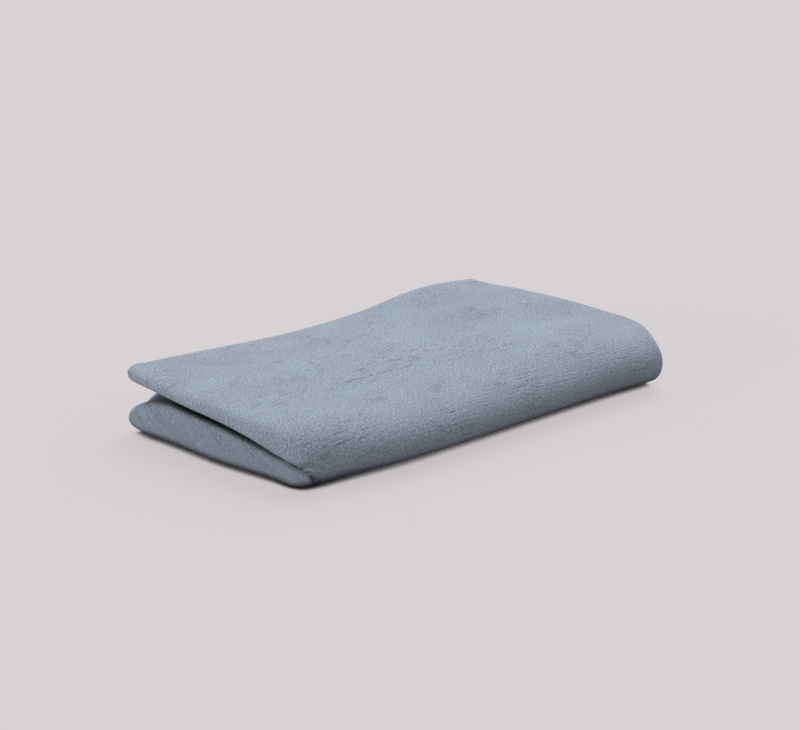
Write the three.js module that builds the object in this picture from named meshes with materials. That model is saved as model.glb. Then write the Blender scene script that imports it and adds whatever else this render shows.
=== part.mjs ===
// A travel towel, folded into a sixteen-ply pad and lying on a flat surface.
//
// Millimetres, +Z up. The pad is first laid out with X from its left end, where the folds of the cloth
// show as two closed noses, Y from its near edge, where the last fold closes it like a book, and Z from
// the surface. At the end it is centred over the origin.
//
// The cloth is one sheet. It is folded as by hand: its width is halved, its length is quartered, and the
// strip that this gives is closed like a book along the near edge. Each fold is a function, and a point
// of the flat cloth goes through all three.

import * as THREE from "three";

// The cloth, laid out flat
const CLOTH_WIDTH = 600;
const CLOTH_LENGTH = 1200;
const CLOTH_THICKNESS = 1;

// The folded pad
const PAD_LENGTH = 300;
const PAD_WIDTH = 148;
const PLIES_IN_STRIP = 8;
const PLY_PITCH = 2;
const HALVING_RADIUS = 0.85;
const CREASE_GAP = 0.6;

// Where the folds across the length turn
const LEFT_TURN_X = 9;
const RIGHT_TURN_X = PAD_LENGTH - 4;

// The book fold: how far along the strip's width it starts, and how much of that width it takes
const BOOK_START = 132;
const BOOK_LENGTH = 36;
const LOWER_ROUNDNESS = 3;
const UPPER_ROUNDNESS = 2.1;

// The far edge: how far the crease ply and the outermost ply of each half stop short of its line
const LOWER_FAR_INSET = { crease: 1.5, outer: 5 };
const UPPER_FAR_INSET = { crease: 2.3, outer: 0.5 };

// The two halves part a little beyond the book fold, within this share of the upper half's width
const PARTING = 0.5;
const PARTING_SHARE = 0.2;

// The left end. Its outline reaches past x = 0 by the first value at the corners and by both in the middle,
// and draws back at each corner. The noses are round where their stretch is 1, and are stretched along the
// pad from near to far. At the far corner the upper nose lifts and curls up, and the lower one droops.
// Shares are of the pad's width, from the near edge, where a change starts.
const LEFT_END = {
  reach: 4, bow: 4.5, fade: 45,
  farCorner: 4.5, farCornerShare: 0.86,
  nearCornerAbove: 9, nearCornerBelow: 4, nearCornerSize: 6,
  nearStretch: 1.15, farStretch: 2.5, stretchShare: 0.1,
  lift: 2.8, liftShare: 0.3, upperCurl: 0.1, lowerDroop: 0.045,
};

// At the near left corner the closed noses can't turn smoothly, so they buckle inward along a line that
// runs from the centre of the book fold, outward and down at this angle
const BUCKLE = { angle: THREE.MathUtils.degToRad(-22.5), spread: 0.15, width: 7, depth: 7, fade: 25 };

// The right end: it bows out in the middle and draws back at both corners
const RIGHT_END = {
  bow: 3, fade: 40,
  farCorner: 12, farCornerShare: 0.62,
  nearCorner: 13, nearCornerSize: 10,
};

// Stations along the pad, evenly spaced from the left end to the right end. The heights are those of the
// upper face and of the crease between the two halves, near the closed edge, in the middle and at the far
// edge. The centre of the book fold lies this far in from the near edge line, its outside reaches this far
// out from that line, and the upper half overhangs the far edge line by the last column. The heights run on
// a little past the far edge line, to this share of the pad's width.
const FAR_SHARE = 1.05;
const STATIONS = [
  { topNear: 31.0, topMiddle: 34.0, topFar: 37.8, creaseNear: 13.0, creaseMiddle: 17.2, creaseFar: 16.8,
    bookCentre: 8, nearReach: 5.0, farReach: 0 },
  { topNear: 31.0, topMiddle: 35.0, topFar: 37.0, creaseNear: 15.0, creaseMiddle: 17.2, creaseFar: 18.0,
    bookCentre: 17, nearReach: 17.5, farReach: 0 },
  { topNear: 31.5, topMiddle: 37.0, topFar: 36.2, creaseNear: 16.3, creaseMiddle: 17.8, creaseFar: 18.2,
    bookCentre: 18, nearReach: 17.0, farReach: 0 },
  { topNear: 32.5, topMiddle: 39.5, topFar: 39.5, creaseNear: 16.3, creaseMiddle: 18.5, creaseFar: 19.0,
    bookCentre: 18, nearReach: 13.5, farReach: 1.5 },
  { topNear: 33.0, topMiddle: 40.5, topFar: 44.5, creaseNear: 16.3, creaseMiddle: 19.0, creaseFar: 20.5,
    bookCentre: 18, nearReach: 10.0, farReach: 4 },
  { topNear: 32.5, topMiddle: 38.5, topFar: 41.0, creaseNear: 16.3, creaseMiddle: 18.5, creaseFar: 20.0,
    bookCentre: 18, nearReach: 9.5, farReach: 4 },
];
const STATION_SPACING = PAD_LENGTH / (STATIONS.length - 1);

// Mesh steps, closer together where the pad's shape changes faster: places along each straight run, and
// fractions of the way from the far edge to the book fold
const RUN_PLACES_X = [20, 38, 66, 104, 148, 196, 240, 276];
const STRIP_FRACTIONS = [0.09, 0.24, 0.44, 0.68, 1];
const BOOK_STEPS = 9;
const OUTER_TURN_STEPS = 8;
const INNER_TURN_STEPS = 5;
const HALVING_TURN_STEPS = 3;

const STRIP_THICKNESS = PLIES_IN_STRIP * PLY_PITCH;
const HALF_CLOTH = CLOTH_THICKNESS / 2;
const HALF_GAP = CREASE_GAP / 2;
const PLY_INSET = PLY_PITCH - HALVING_RADIUS;
const NOSE_RADIUS = STRIP_THICKNESS / 2 - PLY_INSET;
const BOOK_END = BOOK_START + BOOK_LENGTH;
const { clamp, lerp, smoothstep } = THREE.MathUtils;

// ---- Shape of the pad -------------------------------------------------------------------------------

// A column of the stations at any x, on a smooth curve through its values
function along(column, x) {
  const last = STATIONS.length - 1;
  const position = clamp(x / STATION_SPACING, 0, last);
  const i = Math.min(Math.floor(position), last - 1);
  const f = position - i;
  const b = STATIONS[i][column];
  const c = STATIONS[i + 1][column];
  const a = i > 0 ? STATIONS[i - 1][column] : 2 * b - c;
  const d = i < last - 1 ? STATIONS[i + 2][column] : 2 * c - b;
  return b + 0.5 * f * (c - a + f * (2 * a - 5 * b + 4 * c - d + f * (3 * (b - c) + d - a)));
}

// The height of the "top" or "crease" surface at x, y: a parabola through its near, middle and far values
function height(surface, x, y) {
  const f = clamp(y / PAD_WIDTH, 0, FAR_SHARE);
  return along(surface + "Near", x) * (1 - f) * (1 - 2 * f)
    + along(surface + "Middle", x) * 4 * f * (1 - f)
    + along(surface + "Far", x) * f * (2 * f - 1);
}

// Distance from the book fold's centre to its outside, at an angle that is negative below the centre
function bookRadius(angle, outward, below, above) {
  const vertical = angle < 0 ? below : above;
  const power = angle < 0 ? LOWER_ROUNDNESS : UPPER_ROUNDNESS;
  const sideways = Math.abs(Math.cos(angle) / outward) ** power;
  const upright = Math.abs(Math.sin(angle) / vertical) ** power;
  return (sideways + upright) ** (-1 / power);
}

// ---- Fold 1: the width is halved --------------------------------------------------------------------

const HALF_WIDTH_RUN = (CLOTH_WIDTH - Math.PI * HALVING_RADIUS) / 2;
const STRIP_WIDTH = HALF_WIDTH_RUN + HALVING_RADIUS;

// Gives the distance from the two hems, and the offset from the middle of the double ply
function halveWidth(v) {
  const angle = clamp((v - HALF_WIDTH_RUN) / HALVING_RADIUS, 0, Math.PI);
  const offset = HALVING_RADIUS * Math.cos(angle);
  if (angle === 0) return { across: v, offset };
  if (angle === Math.PI) return { across: CLOTH_WIDTH - v, offset };
  return { across: HALF_WIDTH_RUN + HALVING_RADIUS * Math.sin(angle), offset };
}

// ---- Fold 2: the length is quartered ----------------------------------------------------------------

// Four runs lie on four levels, counted from the crease face of the strip. The cloth starts with a hem at
// the right on the second level, turns at the left to the third, at the right to the fourth, and at the
// left round all the others to the first, where it ends in the other hem. A turn's radius is that of the
// middle of the double ply, and the outer turn takes more cloth than its half circle, because it is
// stretched. The offset sign says whether the ply of positive offset lies farther from the crease face on a
// run, and farther out on a turn.
const DOUBLE_PLY = 2 * PLY_PITCH;
const OUTER_TURN_RADIUS = 3 * PLY_PITCH;
const OUTER_TURN_STRETCH = 1.3;
const TURNS_LENGTH = Math.PI * (2 * PLY_PITCH + OUTER_TURN_STRETCH * OUTER_TURN_RADIUS);
const HEM_RUN = (CLOTH_LENGTH - TURNS_LENGTH) / 2 - (RIGHT_TURN_X - LEFT_TURN_X);
const HEM_X = LEFT_TURN_X + HEM_RUN;

const INNER_TURN = { x: LEFT_TURN_X, side: -1, radius: PLY_PITCH, steps: INNER_TURN_STEPS };
const RIGHT_TURN = { x: RIGHT_TURN_X, side: 1, radius: PLY_PITCH, steps: INNER_TURN_STEPS };
const OUTER_TURN = { x: LEFT_TURN_X, side: -1, radius: OUTER_TURN_RADIUS, steps: OUTER_TURN_STEPS };

const PATH = [
  { from: HEM_X, to: LEFT_TURN_X, level: 1.5, offsetSign: 1 },
  { turn: INNER_TURN, climb: 1, level: 2, offsetSign: -1 },
  { from: LEFT_TURN_X, to: RIGHT_TURN_X, level: 2.5, offsetSign: -1 },
  { turn: RIGHT_TURN, climb: 1, level: 3, offsetSign: 1 },
  { from: RIGHT_TURN_X, to: LEFT_TURN_X, level: 3.5, offsetSign: 1 },
  { turn: OUTER_TURN, climb: -1, level: 2, offsetSign: 1 },
  { from: LEFT_TURN_X, to: HEM_X, level: 0.5, offsetSign: -1 },
];

// Places along a straight run, without its start
function runPlaces({ from, to, level, offsetSign }) {
  const between = RUN_PLACES_X.filter((x) => x > Math.min(from, to) && x < Math.max(from, to));
  if (to < from) between.reverse();
  return [...between, to].map((x) => (offset) => ({ x, depth: level * DOUBLE_PLY + offsetSign * offset }));
}

// Places along a turn, without its start
function turnPlaces({ turn, climb, level, offsetSign }) {
  return Array.from({ length: turn.steps }, (_, i) => (offset) => {
    const angle = (Math.PI * (i + 1)) / turn.steps;
    const radius = turn.radius + offsetSign * offset;
    return {
      x: turn.x + turn.side * radius * Math.sin(angle),
      depth: level * DOUBLE_PLY - climb * radius * Math.cos(angle),
    };
  });
}

// Places from hem to hem. Each gives x and the distance from the crease face, for an offset in the ply
function lengthPlaces() {
  const start = runPlaces({ ...PATH[0], to: PATH[0].from });
  return [...start, ...PATH.flatMap((piece) => (piece.turn ? turnPlaces(piece) : runPlaces(piece)))];
}

// ---- Fold 3: the strip is closed like a book, and takes the shape of the pad --------------------------

// level is 0 for the ply at the crease and 1 for the outermost one
function closeBook(x, across, depth) {
  const level = (depth - PLY_INSET) / (2 * NOSE_RADIUS);
  const centreY = along("bookCentre", x);
  if (across <= BOOK_START) return lowerHalf(x, centreY, across / BOOK_START, level);
  if (across >= BOOK_END) return upperHalf(x, centreY, (across - BOOK_END) / (STRIP_WIDTH - BOOK_END), level);
  return bookFold(x, centreY, ((across - BOOK_START) / BOOK_LENGTH - 0.5) * Math.PI, level);
}

function lowerHalf(x, centreY, fromFarEdge, level) {
  const inset = lerp(LOWER_FAR_INSET.crease, LOWER_FAR_INSET.outer, level);
  const y = lerp(PAD_WIDTH - inset, centreY, fromFarEdge);
  const highest = height("crease", x, y) - HALF_GAP - HALF_CLOTH;
  return { y, z: lerp(highest, HALF_CLOTH, level), angle: -Math.PI / 2, curl: -LEFT_END.lowerDroop };
}

function upperHalf(x, centreY, fromBook, level) {
  const inset = lerp(UPPER_FAR_INSET.crease, UPPER_FAR_INSET.outer, level);
  const y = lerp(centreY, PAD_WIDTH - inset + along("farReach", x), fromBook);
  const lifted = smoothstep(y / PAD_WIDTH, LEFT_END.liftShare, 1) * (1 - smoothstep(x, 0, LEFT_END.fade));
  const lift = LEFT_END.lift * lifted;
  const parting = PARTING * smoothstep(fromBook, 0, PARTING_SHARE);
  const lowest = height("crease", x, y) + HALF_GAP + lift + parting + HALF_CLOTH;
  const highest = height("top", x, y) - HALF_CLOTH;
  return { y, z: lerp(lowest, highest, level), angle: Math.PI / 2, curl: LEFT_END.upperCurl };
}

function bookFold(x, centreY, angle, level) {
  const centreZ = height("crease", x, centreY);
  const outward = centreY + along("nearReach", x) - HALF_CLOTH;
  const below = centreZ - HALF_CLOTH;
  const above = height("top", x, centreY) - centreZ - HALF_CLOTH;
  const radius = lerp(HALF_GAP + HALF_CLOTH, bookRadius(angle, outward, below, above), level);
  return { y: centreY - radius * Math.cos(angle), z: centreZ + radius * Math.sin(angle), angle, curl: 0 };
}

// Distance from the line along which the near left corner buckles
function buckleDistance(x, point) {
  const centreY = along("bookCentre", x);
  const fromCentre = new THREE.Vector2(centreY - point.y, point.z - height("crease", x, centreY));
  const line = new THREE.Vector2(Math.cos(BUCKLE.angle), Math.sin(BUCKLE.angle));
  const nearest = line.clone().multiplyScalar(Math.max(line.dot(fromCentre), 0));
  return fromCentre.distanceTo(nearest);
}

// Moves a point of the left end along the pad, and up or down
function shapeLeftEnd(x, point) {
  const f = clamp(point.y / PAD_WIDTH, 0, 1);
  const centreY = along("bookCentre", x);
  const intoNose = Math.max(LEFT_TURN_X - x, 0);
  const pastNose = Math.max(x - LEFT_TURN_X, 0);
  const farness = smoothstep(f, LEFT_END.stretchShare, 1);
  const stretch = lerp(LEFT_END.nearStretch, LEFT_END.farStretch, farness);

  const aboveBuckle = smoothstep(point.angle - BUCKLE.angle, -BUCKLE.spread, BUCKLE.spread);
  const nearCorner = lerp(LEFT_END.nearCornerBelow, LEFT_END.nearCornerAbove, aboveBuckle)
    * smoothstep(centreY - point.y, 0, centreY + LEFT_END.nearCornerSize);
  const farCorner = LEFT_END.farCorner * smoothstep(f, LEFT_END.farCornerShare, 1);
  const outline = nearCorner + farCorner - LEFT_END.reach - LEFT_END.bow * Math.sin(Math.PI * f);
  const noseShift = outline + NOSE_RADIUS * stretch - LEFT_TURN_X;
  const noseStretch = ((stretch - 1) * intoNose ** 2) / NOSE_RADIUS;

  const fromLine = buckleDistance(x, point) / BUCKLE.width;
  const buckle = BUCKLE.depth * Math.exp(-(fromLine ** 2) - pastNose / BUCKLE.fade);
  return {
    x: noseShift * Math.exp(-pastNose / LEFT_END.fade) - noseStretch + buckle,
    z: point.curl * farness * intoNose ** 2,
  };
}

// Moves a point of the right end along the pad
function shapeRightEnd(x, point) {
  const f = clamp(point.y / PAD_WIDTH, 0, 1);
  const size = RIGHT_END.nearCornerSize;
  const nearLimit = along("bookCentre", x) + size;
  const nearCorner = RIGHT_END.nearCorner * smoothstep(nearLimit - point.y, 0, nearLimit + size);
  const farCorner = RIGHT_END.farCorner * smoothstep(f, RIGHT_END.farCornerShare, 1);
  const fade = Math.exp(Math.min(x - RIGHT_TURN_X, 0) / RIGHT_END.fade);
  return (RIGHT_END.bow * Math.sin(Math.PI * f) - farCorner - nearCorner) * fade;
}

// ---- The cloth as a solid ---------------------------------------------------------------------------

// The middle of the cloth, at a place along the length and a distance v across the flat width
function foldedPoint(place, v) {
  const { across, offset } = halveWidth(v);
  const { x, depth } = place(offset);
  const point = closeBook(x, across, depth);
  const left = shapeLeftEnd(x, point);
  return new THREE.Vector3(x + left.x + shapeRightEnd(x, point), point.y, point.z + left.z);
}

// Even steps over a length, without its two ends
function placesBetween(start, length, steps) {
  return Array.from({ length: steps - 1 }, (_, i) => start + (length * (i + 1)) / steps);
}

// Places across the width: hem, lower half, book fold, upper half and half of the first fold, then back
function widthPlaces() {
  const upperRun = HALF_WIDTH_RUN - BOOK_END;
  const lower = [0, ...STRIP_FRACTIONS].map((f) => f * BOOK_START);
  const book = placesBetween(BOOK_START, BOOK_LENGTH, BOOK_STEPS);
  const upper = [0, ...STRIP_FRACTIONS].map((f) => HALF_WIDTH_RUN - f * upperRun).reverse();
  const turn = placesBetween(HALF_WIDTH_RUN, Math.PI * HALVING_RADIUS, HALVING_TURN_STEPS);
  const toMiddle = [...lower, ...book, ...upper];
  return [...toMiddle, ...turn, ...toMiddle.map((v) => CLOTH_WIDTH - v).reverse()];
}

// Unit normals of the grid of points, from the neighbours of each
function gridNormals(points) {
  const rows = points.length;
  const columns = points[0].length;
  return points.map((row, i) => row.map((_, j) => {
    const alongLength = new THREE.Vector3().subVectors(
      points[Math.min(i + 1, rows - 1)][j], points[Math.max(i - 1, 0)][j]);
    const acrossWidth = new THREE.Vector3().subVectors(
      points[i][Math.min(j + 1, columns - 1)], points[i][Math.max(j - 1, 0)]);
    return alongLength.cross(acrossWidth).normalize();
  }));
}

// A closed solid: the two faces of the cloth, and its four edges
function clothGeometry() {
  const across = widthPlaces();
  const middle = lengthPlaces().map((place) => across.map((v) => foldedPoint(place, v)));
  const normals = gridNormals(middle);
  const rows = middle.length;
  const columns = middle[0].length;

  const positions = [];
  for (const face of [1, -1]) {
    for (let i = 0; i < rows; i++) {
      for (let j = 0; j < columns; j++) {
        const corner = middle[i][j].clone().addScaledVector(normals[i][j], face * HALF_CLOTH);
        positions.push(corner.x, corner.y, Math.max(corner.z, 0));
      }
    }
  }

  const front = (i, j) => i * columns + j;
  const back = (i, j) => rows * columns + i * columns + j;
  const triangles = [];
  const quad = (a, b, c, d) => triangles.push(a, b, c, a, c, d);
  for (let i = 0; i + 1 < rows; i++) {
    for (let j = 0; j + 1 < columns; j++) {
      quad(front(i, j), front(i + 1, j), front(i + 1, j + 1), front(i, j + 1));
      quad(back(i, j), back(i, j + 1), back(i + 1, j + 1), back(i + 1, j));
    }
  }
  for (let i = 0; i + 1 < rows; i++) {
    quad(front(i, 0), back(i, 0), back(i + 1, 0), front(i + 1, 0));
    quad(front(i + 1, columns - 1), back(i + 1, columns - 1), back(i, columns - 1), front(i, columns - 1));
  }
  for (let j = 0; j + 1 < columns; j++) {
    quad(front(0, j + 1), back(0, j + 1), back(0, j), front(0, j));
    quad(front(rows - 1, j), back(rows - 1, j), back(rows - 1, j + 1), front(rows - 1, j + 1));
  }

  const geometry = new THREE.BufferGeometry();
  geometry.setAttribute("position", new THREE.Float32BufferAttribute(positions, 3));
  geometry.setIndex(triangles);
  return geometry;
}

// Centred over the origin in X and Y. The underside already lies at Z = 0
function centredOnSurface(geometry) {
  geometry.computeBoundingBox();
  const centre = geometry.boundingBox.getCenter(new THREE.Vector3());
  geometry.translate(-centre.x, -centre.y, -geometry.boundingBox.min.z);
  return geometry;
}

const fabric = new THREE.MeshStandardMaterial({ color: 0x9aa8b8, roughness: 0.95, metalness: 0 });
const towel = new THREE.Mesh(centredOnSurface(clothGeometry()), fabric);
towel.name = "towel";

const model = new THREE.Group();
model.add(towel);
export default model;
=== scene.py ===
"""A folded travel towel: one fine sheet of cloth on the folds of the CAD part, with its material, a plain
floor, soft light and a camera.

The cloth's sizes are in millimetres and laid out as in the CAD part: X from the left end, where the folds
show as two closed noses, Y from the near edge, where the last fold closes the pad like a book, and Z from
the surface. The finished mesh is turned into metres and set where the CAD solid is.
"""

import math

import bpy
import numpy as np
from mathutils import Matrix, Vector


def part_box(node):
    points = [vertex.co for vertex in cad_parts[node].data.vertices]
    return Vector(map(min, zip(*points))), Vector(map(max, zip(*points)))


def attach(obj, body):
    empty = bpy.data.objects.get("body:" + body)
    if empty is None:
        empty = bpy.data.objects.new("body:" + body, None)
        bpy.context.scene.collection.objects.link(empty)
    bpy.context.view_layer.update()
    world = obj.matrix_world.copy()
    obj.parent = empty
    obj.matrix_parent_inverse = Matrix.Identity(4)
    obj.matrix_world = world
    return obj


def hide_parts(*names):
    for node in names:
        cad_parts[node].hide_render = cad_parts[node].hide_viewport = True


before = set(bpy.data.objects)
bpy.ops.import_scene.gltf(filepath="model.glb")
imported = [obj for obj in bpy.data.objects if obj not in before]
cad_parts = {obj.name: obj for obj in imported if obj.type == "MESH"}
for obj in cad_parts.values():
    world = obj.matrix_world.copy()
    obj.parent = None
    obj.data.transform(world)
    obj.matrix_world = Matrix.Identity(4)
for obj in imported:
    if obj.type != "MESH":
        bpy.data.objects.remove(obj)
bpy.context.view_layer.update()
MM = 0.001

# ---- Sizes of the cloth and the pad ----------------------------------------------------------------

# The flat cloth
CLOTH_WIDTH = 600
CLOTH_LENGTH = 1200
CLOTH_THICKNESS = 0.82
HEM_THICKNESS = 1.2
HEM_WIDTH = 8

# The folded pad: the width is halved, the length is quartered, and the strip is closed like a book. A ply's
# pitch is its own thickness with the air beside it. The halving radius is half the distance between the two
# plies of the halved cloth. The outer turn is drawn out into a nose, which takes this many times the cloth
PAD_LENGTH = 300
PAD_WIDTH = 148
PLY_PITCH = 2
PLIES_IN_STRIP = 8
DOUBLE_PLY = 2 * PLY_PITCH
STRIP_THICKNESS = PLIES_IN_STRIP * PLY_PITCH
HALVING_RADIUS = 0.97
CREASE_GAP = 0.6
LEFT_TURN_X = 9
RIGHT_TURN_X = 296
OUTER_TURN_RADIUS = 3 * PLY_PITCH
OUTER_TURN_STRETCH = 1.3

# The runs of the quartered strip, in double plies from the crease face, from the first hem to the last
FIRST_RUN = 1.5
SECOND_RUN = 2.5
THIRD_RUN = 3.5
LAST_RUN = 0.5

# The book fold: where it starts across the strip, how much of the strip it takes, and its roundness below
# and above its centre, where 2 is an ellipse and more is squarer
BOOK_START = 132
BOOK_LENGTH = 36
BOOK_END = BOOK_START + BOOK_LENGTH
LOWER_ROUNDNESS = 2.5
UPPER_ROUNDNESS = 2

# The far edge lies back by these amounts at the inside and the outside of each half
LOWER_FAR_INSET = (1.5, 5)
UPPER_FAR_INSET = (2.3, 0.5)

# The edges are uneven by these amounts, in waves of this length along the edge and with this many of them
# through the strip. Each noise has its own shift and seed
FAR_UNEVENNESS = 1.3
FAR_EDGE_WAVES = (70, 6)
LOWER_FAR_NOISE = (3, 11)
UPPER_FAR_NOISE = (9, 12)
RIGHT_UNEVENNESS = 1.5
RIGHT_EDGE_WAVES = (55, 5)
RIGHT_NOISE = (5, 13)
NOISE_LATTICE = 64

# Away from the book fold the upper half lies this much higher, all of it from this share of its width on
PARTING = 0.3
PARTING_SHARE = 0.2

# The outline of the left end: how far the noses reach past x = 0, how far each bows out in its middle, how
# far the upper one lies back, and the length over which all that fades along the pad
LEFT_REACH = 2
UPPER_LEFT_BOW = 2
LOWER_LEFT_BOW = -0.3
UPPER_SETBACK = 0.2
LEFT_FADE = 45

# The corners of the left end lie back by these amounts: the far ones beyond this share of the width, the
# near one above and below the crease that runs round it, and the lower nose over these places across the pad
UPPER_FAR_CORNER = 5
LOWER_FAR_CORNER = 6.5
FAR_CORNER_SHARE = 0.84
LEFT_NEAR_CORNER_ABOVE = 3
LEFT_NEAR_CORNER_BELOW = 5.5
LEFT_NEAR_CORNER_SIZE = 12
LOWER_NEAR_SETBACK = 6
LOWER_NEAR_SETBACK_END = (75, 5)
NEAR_CORNER_FADE = 13

# How long the noses are for their thickness, from a share of the width to the far edge
NEAR_STRETCH = 1.15
LOWER_FAR_STRETCH = 1.8
UPPER_FAR_STRETCH = 1.3
STRETCH_SHARE = 0.1

# How blunt the noses are, more for a higher number, and how blunt their lips beside the crease are, more
# for a lower one. The far lips take over between these places across the pad, and a nose turns into its lip
# between these levels through the strip
NEAR_BLUNTNESS = 2.2
FAR_BLUNTNESS = 1.0
UPPER_LIP_BLUNTNESS = 0.52
LOWER_LIP_BLUNTNESS = 0.33
UPPER_FAR_LIP_BLUNTNESS = 0.85
LOWER_FAR_LIP_BLUNTNESS = 0.75
FAR_LIP_PLACES = (108, 136)
LIP_LEVELS = (0.7, 0.15)

# The upper part of each nose lies back by up to this far, less at the near end of the upper nose
UPPER_NOSE_SLOPE = 5
UPPER_NOSE_NEAR_SLOPE = 1
LOWER_NOSE_SLOPE = 0.5
NOSE_SLOPE_POWER = 1.6
NOSE_SLOPE_FADE = 22

# The shoulders of the pad sink by this much at the left end. Between these shares of the width that changes
# to the tip of the upper nose curling up
SHOULDER_DROOP = 4
SHOULDER_FADE = 16
SHOULDER_END = (0.5, 1.05)
TIP_CURL = 2.5

# The far left corner of the lower half sinks, and each nose gets flatter towards its tip, by these shares of
# the height
CORNER_DROOP = 0.46
CORNER_DROOP_START = 0.68
CORNER_DROOP_POWER = 1.15
CORNER_DROOP_FADE = 15
UPPER_NOSE_DROOP = 0.1
LOWER_NOSE_DROOP = 0.035

# At the left end the underside lies this far from the surface, fading over this length along the pad
LIFT = 1.3
LIFT_FADE = 9

# Behind its lip the upper face of the lower half falls by this much. It starts and ends between these places
# along the pad, ends between these across it, and fades in beside the book fold as the lift does
HOLLOW = 6
HOLLOW_START = (-2.2, 6)
HOLLOW_END = (14, 45)
HOLLOW_FAR_END = (92, 120)
BOOK_FADE = 13

# The crease that runs from the mouth between the noses round the near left corner: its angle round the book
# fold, by how much and between which places along the pad that turns, and its spread, width, depth and fade
BUCKLE_ANGLE = math.radians(6)
BUCKLE_TURN = math.radians(-81)
BUCKLE_TURN_PLACES = (-2, 19)
BUCKLE_SPREAD = 0.15
BUCKLE_WIDTH = 1.9
BUCKLE_DEPTH = 6
BUCKLE_FADE = 10

# The end of that crease on the near side: its line from the corner towards the surface, in X and Z
CORNER_CREASE = ((3, 14.5), (14, 3))
CORNER_CREASE_WIDTH = 1.5
CORNER_CREASE_DEPTH = 4.5
CORNER_CREASE_FADE = 10

# The right end: how far it bows out in its middle, over what length its shape fades, and its corners
RIGHT_BOW = 3
RIGHT_FADE = 40
RIGHT_FAR_CORNER = 12
RIGHT_FAR_CORNER_SHARE = 0.62
RIGHT_NEAR_CORNER = 13
RIGHT_NEAR_CORNER_SIZE = 10

# Stations along the pad, evenly spaced from the left end to the right end: the heights of the upper face
# and of the crease between the halves, each near the closed edge, in the middle and at the far edge, the
# centre of the book fold, how far its outside reaches past y = 0, and the upper half's overhang at the back
STATIONS = {
    "top_near": (34.3, 31.0, 31.5, 32.5, 33.0, 35.0),
    "top_middle": (40.0, 35.5, 37.0, 38.5, 38.0, 35.7),
    "top_far": (37.8, 36.8, 34.2, 35.0, 39.2, 35.7),
    "crease_near": (17.2, 15.0, 16.3, 16.3, 16.3, 16.3),
    "crease_middle": (32.0, 19.0, 17.8, 18.5, 19.0, 18.5),
    "crease_far": (27.0, 20.5, 18.2, 19.0, 20.5, 20.0),
    "book_centre": (10, 24, 26, 26, 26, 24),
    "near_reach": (4.0, 16.0, 16.5, 13.0, 10.0, 9.0),
    "far_reach": (0, 0, 0, 1.5, 4, 4),
}

# The surfaces go on past the far edge, up to this share of the width
FAR_SHARE = 1.05

# The far right part of the upper face rises from a soft line that runs diagonally to the right end
RISE_POINT = (178, 95)
RISE_DIRECTION = (0.913, -0.407)
RISE_SLOPE = 0.08
RISE_SOFTNESS = 8

# A soft trough in the upper face near its far left corner: its two ends, depth and half width
TROUGH = ((22, 134), (62, 110), 0.9, 5)

# Gentle waves of the upper face, longer along the pad: height, length and width, the places across the pad
# between which they start and end, and the shift and seed of their noise
WAVE = (0.9, 55, 20)
WAVE_NEAR_START = (5, 40)
WAVE_FAR_END = (115, 140)
WAVE_NOISE = (7, 5)

# Fine ripples of the outermost ply alone, in two sizes, strongest round one place
RIPPLE = (0.45, 17, 4.2)
RIPPLE_NOISE = (20, 21)
RIPPLE_SHARE = 0.6
SMALL_RIPPLE = (7, 2.2)
SMALL_RIPPLE_NOISE = (9, 22)
SMALL_RIPPLE_SHARE = 0.4
RIPPLE_MIDDLE = (110, 52)
RIPPLE_REACH = (75, 30)
RIPPLE_REST = 0.3

# Short creases in the upper face, where the outermost ply has a little more length than those below:
# x and y of the middle, length, depth, and the slant to the X axis
CRINKLES = [
    (54, 51, 18, 0.3, -0.3),
    (80, 48.5, 20, 0.6, 0.0),
    (99, 48, 14, 0.35, 0.05),
    (123, 52, 11, 0.55, -0.2),
    (104, 58, 9, 0.5, -0.25),
    (134, 57, 15, 0.45, 0.05),
    (126, 36.5, 7, 0.4, -0.7),
    (141, 40.5, 10, 0.55, -0.1),
    (155, 38, 16, 0.7, 0.0),
    (171, 41, 9, 0.45, 0.2),
    (56, 69.5, 17, 0.4, 0.0),
    (58, 80.5, 5, 0.4, -0.1),
    (82.5, 75, 5, 0.4, -0.5),
    (96, 79, 6, 0.4, -0.4),
    (81.5, 19.5, 8, 0.4, -0.2),
    (90, 40, 4, 0.35, 0.3),
    (108.5, 31, 5, 0.3, 0.3),
    (121, 29, 5, 0.3, -0.3),
]
CRINKLE_WIDTH = 1.25
CRINKLE_STRENGTH = 1.8

# Each has a low ridge beside it: its share of the depth, and how many widths away it lies
RIDGE_SHARE = 0.6
RIDGE_PLACE = 2

# The dents belong to plies outside this level, and fade in over this distance beside the book fold
OUTERMOST_LEVEL = 0.93
DENT_FADE = 4

# Mesh steps along the cloth's length: hidden, near the hems and the bends, and on the run that shows, which
# has its closest rows left of one place and its widest right of another
COARSE_STEP = 16
HEM_STEP = 2
BEND_STEP = 4
LAST_BEND_STEP = 2.6
CLOSE_STEP = 1.1
CLOSE_END_X = 40
FINE_STEP = 2
WIDE_STEP = 2.4
WIDE_START_X = 200
TURN_STEPS = 8

# Steps round the outer turn at the left end: its first quarter, its front, and the lip, which starts at this
# share of the radius
NOSE_STEPS = 12
FRONT_STEPS = 6
LIP_STEPS = 8
LIP_SHARE = 0.6

# Mesh steps across its width
LOWER_STEP = 5
UPPER_STEP = 1
FAR_START = 246
FAR_STEP = 2.4
INNER_UPPER_STEP = 7
INNER_LOWER_STEP = 10
BOOK_STEPS = 52
HALVING_STEPS = 6

# The hem eases into the cloth over this distance. The cloth's edge is round by this share of its thickness
HEM_EASE = 2
RIM_SHARE = 0.4

# The material's places count from this share of the rows, which is on the run that shows
ORIGIN_ROW_SHARE = 0.625

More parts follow.
